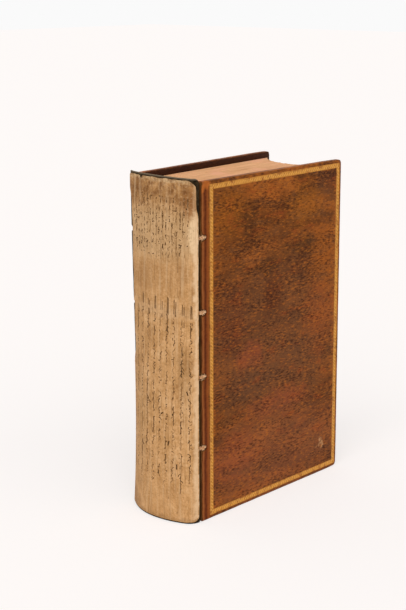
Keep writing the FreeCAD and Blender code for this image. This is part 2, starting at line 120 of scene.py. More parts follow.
def add_node(tree, kind, inputs=None, stops=None, **settings):
    """Adds a node with its settings. An input takes a value, a node or a node and its output."""
    node = tree.nodes.new(kind)
    for name, value in settings.items():
        setattr(node, name, value)
    for key, value in (inputs or {}).items():
        if isinstance(value, bpy.types.Node):
            value = (value, 0)
        if isinstance(value, tuple) and isinstance(value[0], bpy.types.Node):
            tree.links.new(value[0].outputs[value[1]], node.inputs[key])
        else:
            node.inputs[key].default_value = value
    if stops:
        ramp = node.color_ramp.elements
        while len(ramp) < len(stops):
            ramp.new(0.5)
        for element, (place, code) in zip(ramp, stops):
            element.position = place
            element.color = colour(code)
    return node


def new_material(name):
    material = bpy.data.materials.new(name)
    material.use_nodes = True
    material.node_tree.nodes.clear()
    return material, material.node_tree


def finish_material(tree, base, rough, relief, **sockets):
    """The surface itself, with the rest set on its sockets.

    Rough is a number, or a value with the roughness at its 0 and at its 1. Relief is a height with
    its strength and its depth in metres.
    """
    if isinstance(rough, tuple):
        value, low, high = rough
        rough = add_node(tree, "ShaderNodeMapRange", {"Value": value, "To Min": low, "To Max": high})
    height, strength, depth = relief
    bump = add_node(tree, "ShaderNodeBump", {"Height": height, "Strength": strength, "Distance": depth})
    inputs = {"Base Color": base, "Roughness": rough, "Normal": bump}
    inputs.update({name.replace("_", " "): value for name, value in sockets.items()})
    surface = add_node(tree, "ShaderNodeBsdfPrincipled", inputs)
    add_node(tree, "ShaderNodeOutputMaterial", {"Surface": surface})


def shake(tree, waver, place, reach):
    """Pushes a place to and fro by a noise, so that what lies there gets an uneven outline."""
    wave = add_node(tree, "ShaderNodeVectorMath", {0: (waver, "Color"), 1: (0.5, 0.5, 0.5)},
                    operation="SUBTRACT")
    push = add_node(tree, "ShaderNodeVectorMath", {0: wave, "Scale": reach}, operation="SCALE")
    return add_node(tree, "ShaderNodeVectorMath", {0: place, 1: push}, operation="ADD")


def lay_over(tree, base, layers):
    """Lays colours over a base in turn.

    Each layer has the value that masks it, where that value starts and fills it, its strength and
    its colour.
    """
    for value, low, high, strength, code in layers:
        mask = add_node(tree, "ShaderNodeMapRange", {"Value": value, "From Min": low, "From Max": high,
                                                     "To Max": strength})
        above = colour(code) if isinstance(code, str) else code
        base = (add_node(tree, "ShaderNodeMix", {0: mask, 6: base, 7: above}, data_type="RGBA"), 2)
    return base


def lay_stains(tree, base, place, stains, edge):
    """Lays soft-edged spots over a base. Centre and half sizes are millimetres on the sheet."""
    for (x, y), (wide, tall), code, strength in stains:
        moved = add_node(tree, "ShaderNodeVectorMath", {0: place, 1: (x * MM, y * MM, 0)},
                         operation="SUBTRACT")
        scaled = add_node(tree, "ShaderNodeVectorMath", {0: moved, 1: (1 / (wide * MM), 1 / (tall * MM), 0)},
                          operation="MULTIPLY")
        away = add_node(tree, "ShaderNodeVectorMath", {0: scaled}, operation="LENGTH")
        mask = add_node(tree, "ShaderNodeMapRange", {
            "Value": (away, "Value"), "From Min": 1 - edge, "From Max": 1 + edge,
            "To Min": strength, "To Max": 0.0}, interpolation_type="SMOOTHSTEP")
        base = (add_node(tree, "ShaderNodeMix", {0: mask, 6: base, 7: colour(code)}, data_type="RGBA"), 2)
    return base


def make_calf(name, shift, stains):
    """Mottled calf: tanned hide, polished by hands, sprinkled and streaked with dark stain.

    It gives an orange-brown ground with dark, dull and red clouds, a sprinkle of dark and pale
    grains, a red-brown strip along the joint with a band of painted shadow, edges rubbed paler,
    and painted shade over the turn-ins and the flesh side.
    """
    material, tree = new_material(name)
    place = add_node(tree, "ShaderNodeTexCoord")
    moved = add_node(tree, "ShaderNodeMapping", {"Vector": (place, "Object"), "Location": (shift, 0.0, 0.0)})
    # Stretched along the board's width
    drawn = add_node(tree, "ShaderNodeMapping", {"Vector": moved, "Scale": (1.0, 0.5, 1.5)})
    waver, clouds, patches, grains, drifts, creases = (
        add_node(tree, "ShaderNodeTexNoise", {"Vector": where, "Scale": scale, "Detail": detail,
                                              "Roughness": roughness, "Distortion": distortion})
        for where, scale, detail, roughness, distortion in (
            (moved, 90.0, 4.0, 0.65, 0.0), (drawn, 42.0, 12.0, 0.74, 0.5), (drawn, 100.0, 10.0, 0.76, 0.0),
            (drawn, 700.0, 3.0, 0.6, 0.0), (drawn, 75.0, 3.0, 0.5, 0.0), (moved, 260.0, 5.0, 0.7, 0.0)))
    # On the board: X across from the joint, Y up, in metres
    parts = add_node(tree, "ShaderNodeSeparateXYZ", {0: (place, "Object")})
    reach = add_node(tree, "ShaderNodeMath", {0: (parts, "Y"), 1: -JOINT_Y * MM}, operation="ADD")
    flat = add_node(tree, "ShaderNodeCombineXYZ", {"X": reach, "Y": (parts, "Z")})
    uneven = shake(tree, waver, flat, 0.022)

    ground = add_node(tree, "ShaderNodeValToRGB", {0: clouds}, stops=[
        (0.32, "#3c1d08"), (0.43, "#60330f"), (0.52, "#7e4517"), (0.61, "#97521c"), (0.72, "#b06a26")])
    # Dark grains, closer together in drifts
    spread = add_node(tree, "ShaderNodeMapRange", {"Value": drifts, "From Min": 0.35, "From Max": 0.65,
                                                   "To Min": 0.6, "To Max": 0.5})
    dark = add_node(tree, "ShaderNodeMath", {0: grains, 1: spread}, operation="SUBTRACT")
    # Strip along the joint, reddened where the spine's leather was torn away, with a bright line near the
    # torn edge and a dark band of painted shadow beyond it
    across = add_node(tree, "ShaderNodeMath", {0: (waver, "Fac"), 1: 0.003, 2: reach},
                      operation="MULTIPLY_ADD")
    share = add_node(tree, "ShaderNodeMapRange", {"Value": across, "From Max": 0.009})
    joint = add_node(tree, "ShaderNodeValToRGB", {0: share}, stops=[
        (0.24, "#6a3412"), (0.34, "#a05e30"), (0.46, "#7a3a14"), (0.58, "#4a1703"), (0.7, "#7d3a12"),
        (0.86, "#94501e")])
    base = lay_stains(tree, (ground, 0), uneven, stains, 0.55)
    base = lay_over(tree, base, [
        # Dull clouds where the stain has greyed and red ones where it is worn, then the grains
        (patches, 0.5, 0.62, 0.5, "#644026"), (patches, 0.46, 0.34, 0.5, "#984418"),
        (dark, 0.0, 0.08, 0.72, "#3a1804"), (grains, 0.46, 0.33, 0.5, "#bd6a1e"),
        (across, 0.0085, 0.0078, 0.85, (joint, 0))])
    base = lay_stains(tree, base, uneven, [((3.0, 208.5), (4.0, 3.6), "#c06a2a", 0.7)], 0.45)
    # Rubbed rim, and painted shade over the turn-ins and the flesh side, which face the block
    worn = add_node(tree, "ShaderNodeAttribute", attribute_name="wear")
    rub = add_node(tree, "ShaderNodeMath", {0: (worn, "Fac"), 1: clouds}, operation="MULTIPLY")
    inside = add_node(tree, "ShaderNodeAttribute", attribute_name="inside")
    base = lay_over(tree, base, [(rub, 0.3, 0.62, 0.8, "#b5713c"),
                                 ((inside, "Fac"), 0.0, 1.0, 0.9, "#2a130a")])

    # Pores and fine creases of the hide, well under a millimetre
    pores = add_node(tree, "ShaderNodeTexVoronoi", {"Vector": moved, "Scale": 1400.0})
    relief = add_node(tree, "ShaderNodeMath", {0: (pores, "Distance"), 1: 0.35, 2: creases},
                      operation="MULTIPLY_ADD")
    finish_material(tree, base, (grains, 0.42, 0.62), (relief, 0.35, 0.00025), IOR=1.45,
                    Specular_IOR_Level=0.08)
    return material


def make_parchment():
    """Parchment: scraped skin, once written on, pasted down and browned by handling.

    It gives uneven buff, brown blotches at the head, fine dirt, streaks of sunken ink and a paler
    front edge.
    """
    material, tree = new_material("parchment")
    sheet = add_node(tree, "ShaderNodeUVMap", uv_map="sheet")
    waver, tone, blotches, grain, fibres = (
        add_node(tree, "ShaderNodeTexNoise", {"Vector": sheet, "Scale": scale, "Detail": detail,
                                              "Roughness": roughness})
        for scale, detail, roughness in ((190.0, 6.0, 0.72), (75.0, 8.0, 0.72), (210.0, 6.0, 0.75),
                                         (620.0, 5.0, 0.75), (900.0, 4.0, 0.7)))
    uneven = shake(tree, waver, sheet, 0.011)
    parts = add_node(tree, "ShaderNodeSeparateXYZ", {0: uneven})
    ground = add_node(tree, "ShaderNodeValToRGB", {0: tone}, stops=[
        (0.3, "#a27241"), (0.43, "#bd8c57"), (0.55, "#cf9d68"), (0.72, "#e2b685")])
    # Brown damp blotches, at the head only
    near_head = add_node(tree, "ShaderNodeMapRange", {"Value": (parts, "Y"), "From Min": 0.188,
                                                      "From Max": 0.203})
    damp = add_node(tree, "ShaderNodeMapRange", {"Value": blotches, "From Min": 0.44, "From Max": 0.6})
    head_damp = add_node(tree, "ShaderNodeMath", {0: near_head, 1: damp}, operation="MULTIPLY")
    # The front edge below the head, kept clean under the lost leather and torn pale
    across = add_node(tree, "ShaderNodeAttribute", attribute_name="across")
    ragged = add_node(tree, "ShaderNodeMath", {0: (waver, "Fac"), 1: 0.16, 2: (across, "Fac")},
                      operation="MULTIPLY_ADD")
    rim = add_node(tree, "ShaderNodeMapRange", {"Value": ragged, "From Min": 1.01, "From Max": 1.05})
    below = add_node(tree, "ShaderNodeMapRange", {"Value": (parts, "Y"), "From Min": 0.193,
                                                  "From Max": 0.188})
    low_rim = add_node(tree, "ShaderNodeMath", {0: rim, 1: below}, operation="MULTIPLY")
    layers = [(head_damp, 0.0, 1.0, 0.8, "#6a3c14"),
              (grain, 0.52, 0.72, 0.6, "#7a522a"), (grain, 0.48, 0.3, 0.45, "#e2bd92")]
    # Ghosts of ink that has sunk in and of wiped lines, running up the strip
    for stretch, scale, low, high, strength, code in STREAKS:
        drawn = add_node(tree, "ShaderNodeMapping", {"Vector": sheet, "Scale": (1.0, stretch, 1.0)})
        streaks = add_node(tree, "ShaderNodeTexNoise", {"Vector": drawn, "Scale": scale, "Detail": 3.0,
                                                        "Roughness": 0.7})
        layers.append((streaks, low, high, strength, code))
    layers.append((low_rim, 0.0, 1.0, 0.65, "#e9c49a"))
    base = lay_stains(tree, (ground, 0), uneven, PARCHMENT_STAINS, 0.45)
    base = lay_over(tree, base, layers)
    finish_material(tree, base, (tone, 0.55, 0.75), (fibres, 0.4, 0.0002), IOR=1.5, Specular_IOR_Level=0.15)
    return material


def make_linen():
    """Lining canvas soaked with old glue: nearly black brown, with a paler band along its cut head as painted
    highlight.
    """
    material, tree = new_material("glued_dark_linen")
    sheet = add_node(tree, "ShaderNodeUVMap", uv_map="sheet")
    weave, threads = (
        add_node(tree, "ShaderNodeTexNoise", {"Vector": sheet, "Scale": scale, "Detail": detail,
                                              "Roughness": roughness})
        for scale, detail, roughness in ((500.0, 5.0, 0.6), (2200.0, 4.0, 0.7)))
    ground = add_node(tree, "ShaderNodeValToRGB", {0: weave}, stops=[
        (0.3, "#150e05"), (0.5, "#2b2010"), (0.72, "#4b3c26")])
    parts = add_node(tree, "ShaderNodeSeparateXYZ", {0: sheet})
    # Painted highlight: a paler band over the top millimetre of the head
    base = lay_over(tree, (ground, 0), [((parts, "Y"), 0.2108, 0.2118, 0.75, "#857560")])
    finish_material(tree, base, 0.85, (threads, 0.5, 0.0002), Specular_IOR_Level=0.08)
    return material


def make_plain(name, scale, stops, stretch=(1.0, 1.0, 1.0), rough=(0.7, 0.9), relief=0.0001):
    """A matt fibrous material: a noise for its colour, drawn out or not, and a finer one for its relief."""
    material, tree = new_material(name)
    place = add_node(tree, "ShaderNodeTexCoord")
    drawn = add_node(tree, "ShaderNodeMapping", {"Vector": (place, "Object"), "Scale": stretch})
    tone, fibres = (
        add_node(tree, "ShaderNodeTexNoise", {"Vector": drawn, "Scale": size, "Detail": detail,
                                              "Roughness": roughness})
        for size, detail, roughness in ((scale, 5.0, 0.6), (900.0, 4.0, 0.7)))
    ground = add_node(tree, "ShaderNodeValToRGB", {0: tone}, stops=stops)
    finish_material(tree, (ground, 0), (tone, *rough), (fibres, 0.5, relief), Specular_IOR_Level=0.15)
    return material


def make_leaf_edges():
    """Edges of rag paper leaves, trimmed by plough: thin lines a fraction of a millimetre apart."""
    material, tree = new_material("rag_paper_edges")
    sheet = add_node(tree, "ShaderNodeUVMap", uv_map="sheet")
    drawn = add_node(tree, "ShaderNodeMapping", {"Vector": sheet, "Scale": (1.0, 0.012, 1.0)})
    lines = add_node(tree, "ShaderNodeTexNoise", {"Vector": drawn, "Scale": 1500.0, "Detail": 4.0,
                                                  "Roughness": 0.75})
    ground = add_node(tree, "ShaderNodeValToRGB", {0: lines}, stops=[
        (0.28, "#9c6a42"), (0.42, "#cd9566"), (0.55, "#e6ae7e"), (0.75, "#f6c89c")])
    soft = add_node(tree, "ShaderNodeTexNoise", {"Vector": sheet, "Scale": 55.0, "Detail": 3.0})
    base = lay_over(tree, (ground, 0), [(soft, 0.5, 0.72, 0.55, "#efa98a")])
    finish_material(tree, base, 0.8, (lines, 0.5, 0.0002), Specular_IOR_Level=0.15)
    return material


def make_gold(name, leaf, bare, cover):
    """Gold leaf pressed into calf with a hot tool, rubbed through to the brown in places."""
    material, tree = new_material(name)
    place = add_node(tree, "ShaderNodeTexCoord")
    wear = add_node(tree, "ShaderNodeTexNoise", {"Vector": (place, "Object"), "Scale": 330.0, "Detail": 5.0,
                                                 "Roughness": 0.7})
    low, high = cover - 0.1, cover + 0.1
    base = lay_over(tree, colour(bare), [(wear, low, high, 1.0, leaf)])
    metal = add_node(tree, "ShaderNodeMapRange", {"Value": wear, "From Min": low, "From Max": high,
                                                  "To Max": 0.35})
    finish_material(tree, base, (wear, 0.38, 0.58), (wear, 0.4, 0.0001), Metallic=metal,
                    Specular_IOR_Level=0.15)
    return material


# Where things lie on the rounded back

def back_sizes(z, offset, side):
    """Half width, rise and corner radius of the back at a height, moved outwards by an offset.

    The factor 27 / 4 brings the cubic of the rear side to one where the waist is narrowest.
    """
    share = min(max(z / HEIGHT, 0.0), 1.0)
    rise = BACK_RISE - RISE_LOSS * share + offset
    if side > 0:
        return BACK_HALF + offset, rise, FRONT_CORNER - CORNER_LOSS * share + offset
    return BACK_HALF - WAIST_DRAW * 6.75 * share * (1 - share) ** 2 + offset, rise, REAR_CORNER + offset


def back_arcs(z, offset, side):
    """Radius of the flatter arc, the turn at which it meets the corner arc, and the sizes."""
    half, rise, corner = back_sizes(z, offset, side)
    radius = ((half - corner) ** 2 + rise ** 2 - corner ** 2) / (2 * (rise - corner))
    meet = math.atan2(half - corner, radius - rise)
    return radius, meet, half, rise, corner


def on_back(along, z, offset):
    """The point a distance along the back from its crown: the front way when positive."""
    side = 1 if along >= 0 else -1
    radius, meet, half, rise, corner = back_arcs(z, offset, side)
    away = abs(along)
    if away <= radius * meet:
        turn = away / radius
        x, y = radius * math.sin(turn), -rise + radius * (1 - math.cos(turn))
    else:
        turn = meet + (away - radius * meet) / corner
        if turn <= math.pi / 2:
            x, y = half - corner + corner * math.sin(turn), -corner * math.cos(turn)
        else:
            x, y = half, (turn - math.pi / 2) * corner
    return Vector((side * x, JOINT_Y - SHOULDER + y, z)) * MM


def edge_along(z, offset, side, margin):
    """How far along the back its sheet reaches when its edge stays a margin short of the joint."""
    radius, meet, half, rise, corner = back_arcs(z, offset, side)
    turn = math.acos(min(max(margin / corner, 0.0), 1.0))
    if turn < meet:
        drop = rise - margin
        return radius * math.acos(1 - drop / radius)
    return radius * meet + corner * (turn - meet)


def on_board(side, reach, z, depth):
    """A point of a board, from its reach from the joint, its height and its depth."""
    x = HINGE_X + reach * math.sin(SPLAY) - depth * math.cos(SPLAY)
    y = JOINT_Y + reach * math.cos(SPLAY) + depth * math.sin(SPLAY)
    return Vector((side * x, y, z)) * MM


def ripple(x, y, size, seed=0.0):
    """Smooth unevenness from -1 to 1, with waves of a size in millimetres."""
    return noise.noise(Vector((x / size, y / size, seed)))


def bump_at(z, centre, half):
    """1 at the centre and 0 beyond about a half width, with steep sides."""
    return math.exp(-((z - centre) / half) ** 4)


def levels(low, high, step, fine_at=(), fine_step=0.6, fine_half=3.0):
    """Heights from low to high at a step, closer together round some of them."""
    found = [low]
    while found[-1] < high - 1e-6:
        near = any(abs(found[-1] + fine_step - place) < fine_half for place in fine_at)
        found.append(found[-1] + (fine_step if near else step))
    found[-1] = high
    return found


class Shape:
    """Gathers grids of points into one welded mesh, with a sheet UV map and named values."""

    def __init__(self):
        self.points, self.places, self.faces, self.values = [], [], [], {}

    def grid(self, rows, places=None, **values):
        start = len(self.points)
        width = len(rows[0])
        for index, row in enumerate(rows):
            self.points += row
            self.places += places[index] if places else [(0.0, 0.0)] * width
        for name, table in values.items():
            kept = self.values.setdefault(name, [])
            kept += [0.0] * (start - len(kept))
            for row in table:
                kept += row
        for name, kept in self.values.items():
            kept += [0.0] * (len(self.points) - len(kept))
        for r in range(len(rows) - 1):
            for c in range(width - 1):
                first = start + r * width + c
                self.faces.append((first, first + 1, first + 1 + width, first + width))

    def build(self, name, material, sharp=40):
        mesh = bpy.data.meshes.new(name)
        mesh.from_pydata(self.points, [], self.faces)
        sheet = mesh.uv_layers.new(name="sheet")
        for loop in mesh.loops:
            sheet.data[loop.index].uv = self.places[loop.vertex_index]
        for label, kept in self.values.items():
            mesh.attributes.new(label, "FLOAT", "POINT").data.foreach_set("value", kept)
        weld_and_turn(mesh)
        mesh.shade_smooth()
        mesh.set_sharp_from_angle(angle=math.radians(sharp))
        mesh.materials.append(material)
        piece = bpy.data.objects.new(name, mesh)
        bpy.context.scene.collection.objects.link(piece)
        return piece


def weld_and_turn(mesh):
    """Joins doubled points and turns the faces outwards."""
    work = bmesh.new()
    work.from_mesh(mesh)
    bmesh.ops.remove_doubles(work, verts=work.verts, dist=2e-6)
    bmesh.ops.dissolve_degenerate(work, edges=work.edges, dist=1e-7)
    bmesh.ops.recalc_face_normals(work, faces=work.faces)
    work.to_mesh(mesh)
    work.free()


def closed_sheet(name, material, place, columns, rows):
    """A sheet with two faces. Place gives a point and its place on the sheet for a layer."""
    shape = Shape()
    shares = [c / columns for c in range(columns + 1)]

    def add_grid(table, **values):
        points, places = [[[pair[part] for pair in row] for row in table] for part in (0, 1)]
        shape.grid(points, places, **values)

    tables = []
    for layer in (0, 1):
        table = [[place(share, z, layer) for share in shares] for z in rows]
        tables.append(table)
        add_grid(table, across=[shares for _ in table])
    for pick in (lambda table: table[0], lambda table: table[-1],
                 lambda table: [row[0] for row in table], lambda table: [row[-1] for row in table]):
        add_grid([pick(table) for table in tables])
    return shape.build(name, material)


def settle(piece, body, slot, *replaced):
    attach(piece, body)
    if replaced:
        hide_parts(*replaced)


# Text block

def leaf_point(share, run, z, sink):
    """A point of a leaf: share is its place through the block, run goes from fold to fore-edge."""
    side = 1 if share >= 0 else -1
    half = edge_along(z, -sink, side, 0.0)
    fold = on_back(share * half, z, -sink) / MM
    bend = Vector((share * BLOCK_HALF, JOINT_Y - SHOULDER, z))
    wide = BLOCK_THICKNESS / 2 + BLOCK_FORE * math.tan(SPLAY)
    radius = (wide ** 2 + HOLLOW ** 2) / (2 * HOLLOW)
    x = share * wide
    y = JOINT_Y + BLOCK_FORE - HOLLOW + radius - math.sqrt(radius ** 2 - x ** 2)
    edge = Vector((x, y, z))
    # The first fifth of the run is the bend of the backed fold
    if run < 0.2:
        return fold.lerp(bend, run / 0.2)
    return bend.lerp(edge, (run - 0.2) / 0.8)


def make_text_block(material):
    """The sewn leaves: each column of the mesh is a few leaves, cut a little unevenly."""
    leaves = 168
    rng = random.Random(11)
    gathering = 8
    trim = []
    for index in range(leaves + 1):
        if index % gathering == 0:
            lift = rng.uniform(0.0, 0.16)
        dip = 0.22 if index % gathering == 0 else 0.0
        trim.append(lift + dip + rng.uniform(0.0, 0.12))
    shares = [2 * index / leaves - 1 for index in range(leaves + 1)]
    runs = [0.0, 0.05, 0.1, 0.15, 0.2] + [0.2 + 0.8 * step / 22 for step in range(1, 23)]
    cuts = [place + way * reach for place in CORD_HEIGHTS for way in (-1, 1)
            for reach in (HALF_KERF, HALF_KERF + 0.01)]
    rises = sorted([BLOCK_TAIL + (BLOCK_HEAD - BLOCK_TAIL) * step / 20 for step in range(21)] + cuts)

    def sink_at(z):
        return KERF_DEPTH if any(abs(z - place) <= HALF_KERF + 0.001 for place in CORD_HEIGHTS) else 0.0

    def spot(index, run, z):
        """A point of the block, with each leaf's own trim taken off its three cut edges."""
        low, high = BLOCK_TAIL + trim[-index - 1], BLOCK_HEAD - trim[index]
        cut = low + (high - low) * (z - BLOCK_TAIL) / (BLOCK_HEAD - BLOCK_TAIL)
        point = leaf_point(shares[index], run, cut, sink_at(z))
        point.y -= trim[index] * 1.6 * max(0.0, run - 0.9) * 10
        return point * MM

    def place(index, length):
        return (shares[index] * 25 * MM, length * MM)

    shape = Shape()
    everyone = range(leaves + 1)
    for z in (BLOCK_TAIL, BLOCK_HEAD):
        shape.grid([[spot(i, run, z) for i in everyone] for run in runs],
                   [[place(i, run * 140 + z) for i in everyone] for run in runs])
    for run in (0.0, 1.0):
        shape.grid([[spot(i, run, z) for i in everyone] for z in rises],
                   [[place(i, z + run * 300) for i in everyone] for z in rises])
    for index in (0, leaves):
        shape.grid([[spot(index, run, z) for run in runs] for z in rises],
                   [[(run * 0.12, z * MM) for run in runs] for z in rises])
    piece = shape.build("leaves", material, sharp=50)
    settle(piece, "block", "pages", "text_block")


# Spine lining and parchment strip

def lining_edge(z, side):
    """Reach of the lining towards a joint: torn a little, and open round each cord."""
    opening = max(bump_at(z, place, 1.75) for place in CORD_HEIGHTS)
    deepest = 3.3 if side > 0 else 4.6
    margin = 0.35 + 0.25 * ripple(z, side * 40.0, 7.0) + 0.2 * ripple(z, side * 90.0, 1.9)
    return edge_along(z, LINING_EDGE, side, max(margin, 0.05) + opening * deepest)


def make_spine_lining(material):
    rows = levels(0.3, LINING_HEAD, 1.9, CORD_HEIGHTS)

    def place(share, z, layer):
        front, rear = lining_edge(z, 1), lining_edge(z, -1)
        along = -rear + (front + rear) * share
        height = z
        if z > 200:
            # Rounded corners at the head
            for end, size in ((front - along, 3.8), (rear + along, 3.4)):
                if end < size:
                    drop = size - math.sqrt(max(size ** 2 - (size - max(end, 0.0)) ** 2, 0.0))
                    height = min(height, z - drop * (z - 200) / 12)
        if z > 211:
            height = min(height, LINING_HEAD - 0.12 - 0.12 * ripple(along, 5.0, 6.0))
        fray = 0.05 * ripple(along, z, 4.0)
        offset = LINING_OUTSIDE + fray if layer else LINING_INSIDE
        return on_back(along, height, offset), (along * MM, height * MM)

    piece = closed_sheet("lining", material, place, 72, rows)
    settle(piece, "block", "lining_cloth", "spine_lining")


def strip_lift(along, z):
    """How far the parchment stands off the lining: faint cockles and a crease across it."""
    cockle = 0.05 + 0.05 * ripple(along * 0.5, z, 16.0, 3.0)
    crease = 0.06 * bump_at(z, 131.0 - 0.12 * along, 0.9)
    return min(max(cockle, 0.0) + crease, 0.14)


def strip_point(along, z, above=0.0):
    return on_back(along, z, STRIP_INSIDE + STRIP_THICKNESS + strip_lift(along, z) + above)


def strip_edges(z):
    """Reach of the strip to each side: close to the front joint, and worn back along the rear."""
    head = min(max((z - 189.0) / 6.0, 0.0), 1.0)
    margin = 1.3 + 1.3 * head + 0.22 * ripple(z, 12.0, 9.0) + 0.16 * ripple(z, 30.0, 2.2)
    front = edge_along(z, STRIP_EDGE, 1, margin)
    margin = 2.95 + 0.25 * ripple(z, 70.0, 9.0) + 0.12 * ripple(z, 95.0, 2.2)
    rear = edge_along(z, STRIP_EDGE, -1, margin)
    worn = min(max((z - 92.0) / 10.0, 0.0), 1.0) * min(max((203.0 - z) / 8.0, 0.0), 1.0)
    return rear - worn * (3.4 + 0.9 * ripple(z, 55.0, 11.0) + 0.3 * ripple(z, 60.0, 2.5)), front


def make_parchment_strip(material):
    rows = levels(1.05, 210.9, 1.6)

    def place(share, z, layer):
        rear, front = strip_edges(z)
        along = -rear + (front + rear) * share
        height = z
        # Ragged head with a torn notch, and a cut corner at the tail
        if z > 205:
            loss = 0.35 + 0.3 * ripple(along, 1.0, 5.0) + 0.2 * ripple(along, 9.0, 1.6)
            loss += 2.3 * math.exp(-((along + 14.0) / 0.9) ** 2)
            loss += 3.2 * max(0.0, 1 - (front - along) / 5.0) ** 2
            loss += 1.6 * max(0.0, 1 - (rear + along) / 3.0) ** 2
            height -= max(loss, 0.0) * (z - 205) / 6
        if z < 8:
            lift = 0.2 + 0.15 * ripple(along, 20.0, 5.0) + 2.4 * max(0.0, 1 - (front - along) / 4.0) ** 2
            height += max(lift, 0.0) * (8 - z) / 7
        offset = STRIP_INSIDE + strip_lift(along, height) + (STRIP_THICKNESS if layer else 0.0)
        return on_back(along, height, offset), (along * MM, height * MM)

    piece = closed_sheet("parchment_sheet", material, place, 84, rows)
    settle(piece, "block", "parchment", "parchment_strip")


# Strokes and fibres laid by Geometry Nodes

# The threads that a stroke's kind picks. A joined input counts its links from the last one back.
HOOKED, BENT, STRAIGHT = 0, 1, 2


def make_stroke_tree():
    """Lays a thin thread on every point, picked, turned and sized by the point's own values."""
    tree = bpy.data.node_groups.new("strokes_on_points", "GeometryNodeTree")
    for name, kind in (("Points", "Geometry"), ("Thickness", "Float"), ("Bow", "Float"), ("Sides", "Int"),
                       ("Material", "Material")):
        tree.interface.new_socket(name, in_out="INPUT", socket_type="NodeSocket" + kind)
    tree.interface.new_socket("Strokes", in_out="OUTPUT", socket_type="NodeSocketGeometry")
    given = add_node(tree, "NodeGroupInput")
    bow = add_node(tree, "ShaderNodeCombineXYZ", {"Y": (given, "Bow")})
    straight = add_node(tree, "GeometryNodeCurvePrimitiveLine", {"Start": (-0.5, 0, 0), "End": (0.5, 0, 0)})
    bent, hooked = (
        add_node(tree, "GeometryNodeCurveQuadraticBezier", {
            "Resolution": steps, "Start": (-0.5, 0, 0), "Middle": middle, "End": end})
        for steps, middle, end in ((5, bow, (0.5, 0, 0)), (6, (0.75, 0.1, 0), (0.3, 0.6, 0))))
    threads = add_node(tree, "GeometryNodeGeometryToInstance")
    for thread in (straight, bent, hooked):
        tree.links.new(thread.outputs[0], threads.inputs[0])
    turn = add_node(tree, "GeometryNodeInputNamedAttribute", {"Name": "turn"}, data_type="FLOAT_VECTOR")
    spin = add_node(tree, "FunctionNodeEulerToRotation", {0: turn})
    size = add_node(tree, "GeometryNodeInputNamedAttribute", {"Name": "size"}, data_type="FLOAT")
    kind = add_node(tree, "GeometryNodeInputNamedAttribute", {"Name": "kind"}, data_type="INT")
    laid = add_node(tree, "GeometryNodeInstanceOnPoints", {
        "Points": (given, "Points"), "Instance": threads, "Pick Instance": True, "Instance Index": kind,
        "Rotation": spin, "Scale": size})
    lines = add_node(tree, "GeometryNodeRealizeInstances", {0: laid})
    ring = add_node(tree, "GeometryNodeCurvePrimitiveCircle", {"Resolution": (given, "Sides"),
                                                               "Radius": (given, "Thickness")})
    tubes = add_node(tree, "GeometryNodeCurveToMesh", {"Curve": lines, "Profile Curve": ring,
                                                       "Fill Caps": True})
    whole = add_node(tree, "GeometryNodeRealizeInstances", {0: tubes})
    coated = add_node(tree, "GeometryNodeSetMaterial", {"Geometry": whole, "Material": (given, "Material")})
    add_node(tree, "NodeGroupOutput", {0: coated})
    return tree


def run_tree(tree, name, mesh, **values):
    """Evaluates a tree on a mesh and returns its result as a plain mesh."""
    holder = bpy.data.objects.new(name, mesh)
    bpy.context.scene.collection.objects.link(holder)
    modifier = holder.modifiers.new("nodes", "NODES")
    modifier.node_group = tree
    for socket in tree.interface.items_tree:
        if socket.in_out == "INPUT" and socket.name in values:
            modifier[socket.identifier] = values[socket.name]
    seen = holder.evaluated_get(bpy.context.evaluated_depsgraph_get())
    result = bpy.data.meshes.new_from_object(seen)
    bpy.data.objects.remove(holder)
    result.name = name
    return result


def points_mesh(name, strokes):
    """A mesh of bare points, each with its turn, size and kind."""
    mesh = bpy.data.meshes.new(name)
    places, turns, sizes, kinds = zip(*strokes)
    mesh.from_pydata(places, [], [])
    turn = mesh.attributes.new("turn", "FLOAT_VECTOR", "POINT")
    turn.data.foreach_set("vector", [part for turned in turns for part in turned])
    mesh.attributes.new("size", "FLOAT", "POINT").data.foreach_set("value", sizes)
    mesh.attributes.new("kind", "INT", "POINT").data.foreach_set("value", kinds)
    return mesh


def lay_strokes(tree, name, strokes, material, place, **values):
    """Lays strokes flat and then sets their points in the book by a function."""
    mesh = run_tree(tree, name, points_mesh(name + "_points", strokes), Material=material, **values)
    for vertex in mesh.vertices:
        vertex.co = place(vertex.co)
    mesh.materials.clear()
    mesh.materials.append(material)
    weld_and_turn(mesh)
    mesh.shade_smooth()
    piece = bpy.data.objects.new(name, mesh)
    bpy.context.scene.collection.objects.link(piece)
    return piece


